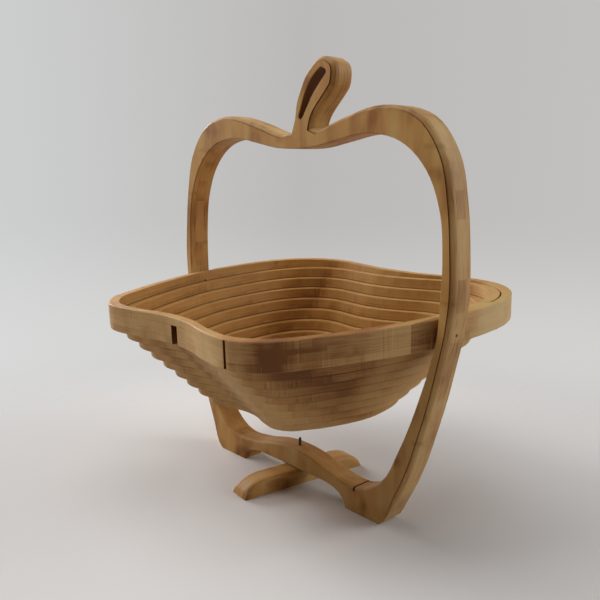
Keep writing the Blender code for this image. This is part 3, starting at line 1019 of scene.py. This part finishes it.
# Ramps run from the root side round the back to the left, one step down
for k in range(1, turnCount + 1):
    hingeX = cutPoint(k - 0.5 + shiftShare(rootAngle), rootAngle, 0, 0).x
    farX = cutPoint(k + 0.5, leftAngle, 0, 0).x
    nearRadius = cutRadius(k + 1, leftAngle)
    spiralStrip(
        f"ramp{k}", f"ramp_{k}", k - 1,
        anglesBetween(
            rootAngle - basket["rootGap"] / nearRadius, leftAngle + basket["leftGap"] / nearRadius),
        lambda x: (k - 1 + (hingeX - x) / (hingeX - farX)) * dropPerTurn)
print("spiral done")

# Flat floor of the basket, with a step on the left where the last ramp meets it
floorAngles = anglesBetween(leftAngle, leftAngle - math.tau + basket["stepSlant"])
clearSelection()
bpy.ops.mesh.primitive_cylinder_add(vertices=len(floorAngles), radius=1, depth=1)
basketFloor = newPiece("basketFloor")
for vertex in basketFloor.data.vertices:
    turned = math.atan2(vertex.co.x, vertex.co.y) % math.tau
    angle = floorAngles[round(turned / math.tau * len(floorAngles)) % len(floorAngles)]
    level = halfBoard if vertex.co.z > 0 else -halfBoard
    vertex.co = stripWalls(turnCount + shiftShare(angle), angle)[0](level)
facesOut(basketFloor)
easeEdges(basketFloor, isAlong, basket["stripEase"], 2)
standUp(basketFloor, hungAt(lambda x: foldTravel))
finishPiece(basketFloor, "floor_body", ["basket_floor"], stripBamboo)

# Cross foot: the piece sawn out from under the frame, turned across it
crossFoot = {
    "turned": math.radians(83),
    "play": 0.0030,
    "topGap": 0.0004,
    "topRound": 0.0034,
    "topFade": 0.6,
    "edgeEase": 0.0007,
}
footSpan = frameShape["archHalfSpan"] - crossFoot["play"]
footHeight = frameShape["archHeight"] - crossFoot["topGap"]
footLoop = archPath(footSpan, footHeight, 1) + archPath(footSpan, footHeight, -1)[::-1]


def footEase(point):
    above = blend((point.y - floorY) / footHeight, 0, crossFoot["topFade"])
    return partWay(crossFoot["edgeEase"], crossFoot["topRound"], above)


swivelFoot = sawnPlate("swivelFoot", [footLoop], footEase, footEase)
footTurn = Matrix.Rotation(crossFoot["turned"], 3, "Z")
saw(swivelFoot, roundBar(screwHole, (0, floorY - cutMargin, 0), (0, humpY, 0)))
saw(swivelFoot, roundBar(
    screw["headRadius"] + pin["clearance"], (0, floorY - cutMargin, 0),
    (0, floorY + screw["recess"] + screw["headHeight"], 0)))
standUp(swivelFoot, lambda point: pivot + footTurn @ Vector((point.x, -point.z, point.y)))
finishPiece(swivelFoot, "foot_body", ["cross_foot"], frameBamboo)

# Pins
for side, word in ((-1, "left"), (1, "right")):
    start, end = [pivot + Vector((side * x, 0, 0)) for x in (pinInner, pinOuter)]
    pinBar = roundBar(pin["radius"], start, end)
    pinBar.name = f"{word}Pin"
    easeEdges(pinBar, lambda a, b: abs(a.z - b.z) < near, pin["dome"], 3)
    squareUp(pinBar, 25)
    finishPiece(pinBar, "frame_body", [f"pivot_pin_{word}"], steel)


def turnedUp(name, profile, centre):
    # Drawn up from a disc, ring by ring, to a profile of radii and heights
    clearSelection()
    radius, height = profile[0]
    bpy.ops.mesh.primitive_circle_add(
        vertices=32, radius=radius, fill_type="NGON", location=(centre.x, centre.y, height))
    piece = newPiece(name)
    editAll()
    for nextRadius, nextHeight in profile[1:]:
        rise = (0, 0, nextHeight - height)
        bpy.ops.mesh.extrude_region_move(TRANSFORM_OT_translate={"value": rise})
        share = nextRadius / radius
        bpy.ops.transform.resize(
            value=(share, share, 1), center_override=(centre.x, centre.y, nextHeight))
        radius, height = nextRadius, nextHeight
    mode("OBJECT")
    return piece


humpZ = pivot.z + humpY
screwProfile = [
    (screw["headRadius"] * screw["headFaceShare"], screw["recess"]),
    (screw["headRadius"], screw["recess"] + screw["headEase"]),
    (screw["radius"], screw["recess"] + screw["headHeight"]),
    (screw["radius"], humpZ - screw["neck"])]
level, tipZ = humpZ, humpZ + screw["tipHeight"]
tip, pitch = screw["tipRadius"], screw["threadPitch"]
while level < tipZ - screw["point"] - pitch:
    screwProfile += [(tip, level), (tip - screw["threadDepth"], level + pitch / 2)]
    level += pitch
screwProfile += [(tip, level), (tip / 2, tipZ)]
footScrew = turnedUp("footScrew", screwProfile, pivot)
squareUp(footScrew, 20)
finishPiece(footScrew, "frame_body", ["foot_screw"], steel)
print("foot, pins and screw done")


def heading(around, up):
    # Direction away from the object: degrees round from the front towards the right, and degrees up
    around, up = math.radians(around), math.radians(up)
    return Vector((math.cos(up) * math.sin(around), -math.cos(up) * math.cos(around), math.sin(up)))


# Camera
view = {
    "azimuth": 47.40,
    "elevation": 10.67,
    "roll": 0.53,
    "distance": 0.54055,
    "target": (-0.001615, 0.000398, 0.14551),
    "lens": 42.24,
    "sensorWidth": 36,
}
camera = bpy.data.objects.new("camera", bpy.data.cameras.new("camera"))
bpy.context.scene.collection.objects.link(camera)
camera.data.lens = view["lens"]
camera.data.sensor_width = view["sensorWidth"]
camera.data.clip_start = 0.01
away = heading(view["azimuth"], view["elevation"])
rolled = Matrix.Rotation(math.radians(view["roll"]), 3, "Z")
turn = (-away).to_track_quat("-Z", "Y").to_matrix() @ rolled
place = Vector(view["target"]) + away * view["distance"]
camera.matrix_world = Matrix.Translation(place) @ turn.to_4x4()
bpy.context.scene.camera = camera

# Floor, backdrop and light: pale paper that fades into a pale backdrop, with soft lamps all round
studio = {
    "floor": "D8D5D3",
    "floorSize": 8,
    "backRows": (
        # height of the direction it is seen in, then its colours on the left, in the middle and right.
        # They are
        # painted light and shade on the backdrop: palest on the left, darkest in the middle
        (-0.52, "C9C7C6", "BFBAB7", "C1BCBA"),
        (-0.38, "CFCECD", "C3BFBC", "C5C1BF"),
        (-0.24, "D9D9D9", "CFCECC", "D2D1D0"),
        (-0.05, "CED0D0", "BBB9B7", "C3C1C0")),
    "fadeStart": 0.20,
    "fadeEnd": 0.42,
    "sky": "FFFFFF",
    "skyLevel": 0.06,
    "sideways": (0.677, 0.736, 0.0),
    "sideReach": 0.42,
    "distance": 2.0,
    "aim": (0, 0, 0.12),
    "lamps": (
        # name, degrees round and up as in heading, width in metres, watts
        ("lampLeft", -90, 16, 1.2, 31),
        ("lampFront", -45, 48, 1.2, 18),
        ("lampBack", 133, 26, 1.2, 17),
        ("lampTop", 0, 88, 1.4, 10),
    ),
}
clearSelection()
bpy.ops.mesh.primitive_plane_add(size=studio["floorSize"], location=(0, 0, 0))
studioFloor = newPiece("studioFloor")
# Matt paper of even colour, which gives the eye no detail and gives way to the backdrop further off
paper = newMaterial("mattPaper")
paperTree = paper.node_tree
floorPlace = addNode(paperTree, "TexCoord", {}).outputs["Object"]
fromMiddle = addNode(paperTree, "VectorMath", {0: floorPlace}, operation="LENGTH").outputs["Value"]
fade = addNode(paperTree, "MapRange", {
    "Value": fromMiddle, "From Min": studio["fadeStart"], "From Max": studio["fadeEnd"]},
    interpolation_type="SMOOTHSTEP")
world = bpy.data.worlds.new("studio")
world.use_nodes = True
skyTree = world.node_tree
skyTree.nodes.clear()
seen = {}
for tree in (paperTree, skyTree):
    # Seen straight on, in a gloss or through something clear
    rays = addNode(tree, "LightPath", {}).outputs
    seen[tree] = rays["Is Camera Ray"]
    for word in ("Is Glossy Ray", "Is Transmission Ray"):
        seen[tree] = addNode(tree, "Math", {0: seen[tree], 1: rays[word]}, operation="MAXIMUM")
seeThrough = addNode(paperTree, "Math", {0: fade, 1: seen[paperTree]}, operation="MULTIPLY")
paperSurface = addNode(paperTree, "BsdfDiffuse", {"Color": linear(studio["floor"])})
clear = addNode(paperTree, "BsdfTransparent", {})
paperMix = addNode(paperTree, "MixShader", {0: seeThrough, 1: paperSurface, 2: clear})
addNode(paperTree, "OutputMaterial", {"Surface": paperMix})
studioFloor.data.materials.append(paper)

skyPlace = addNode(skyTree, "TexCoord", {}).outputs["Generated"]
skyHeight = addNode(skyTree, "SeparateXYZ", {0: skyPlace}).outputs["Z"]
sideways = addNode(
    skyTree, "VectorMath", {0: skyPlace, 1: studio["sideways"]}, operation="DOT_PRODUCT")
sideShare = addNode(skyTree, "MapRange", {
    "Value": sideways.outputs["Value"],
    "From Min": -studio["sideReach"], "From Max": studio["sideReach"]})
backRows = []
for height, *colours in studio["backRows"]:
    sideRamp = addNode(skyTree, "ValToRGB", {0: sideShare})
    sideRamp.color_ramp.elements.new(0.5)
    for element, colour in zip(sideRamp.color_ramp.elements, colours):
        element.color = linear(colour)
    backRows.append((height, sideRamp))
backColour = backRows[0][1]
for (low, _), (high, upper) in zip(backRows, backRows[1:]):
    share = addNode(
        skyTree, "MapRange", {"Value": skyHeight, "From Min": low, "From Max": high},
        interpolation_type="SMOOTHSTEP")
    backColour = addNode(skyTree, "Mix", {0: share, 6: backColour, 7: upper}, data_type="RGBA")
skyLight = addNode(
    skyTree, "Background", {"Color": linear(studio["sky"]), "Strength": studio["skyLevel"]})
skyBack = addNode(skyTree, "Background", {"Color": backColour, "Strength": 1.0})
skyMix = addNode(skyTree, "MixShader", {0: seen[skyTree], 1: skyLight, 2: skyBack})
addNode(skyTree, "OutputWorld", {"Surface": skyMix})
bpy.context.scene.world = world

aim = Vector(studio["aim"])
for name, around, up, size, watts in studio["lamps"]:
    lampData = bpy.data.lights.new(name, "AREA")
    lampData.shape = "DISK"
    lampData.size = size
    lampData.energy = watts
    lamp = bpy.data.objects.new(name, lampData)
    lamp.location = heading(around, up) * studio["distance"] + aim
    lamp.rotation_euler = (aim - lamp.location).to_track_quat("-Z", "Y").to_euler()
    bpy.context.scene.collection.objects.link(lamp)
bpy.context.scene.view_settings.view_transform = "Standard"

print("scene done")
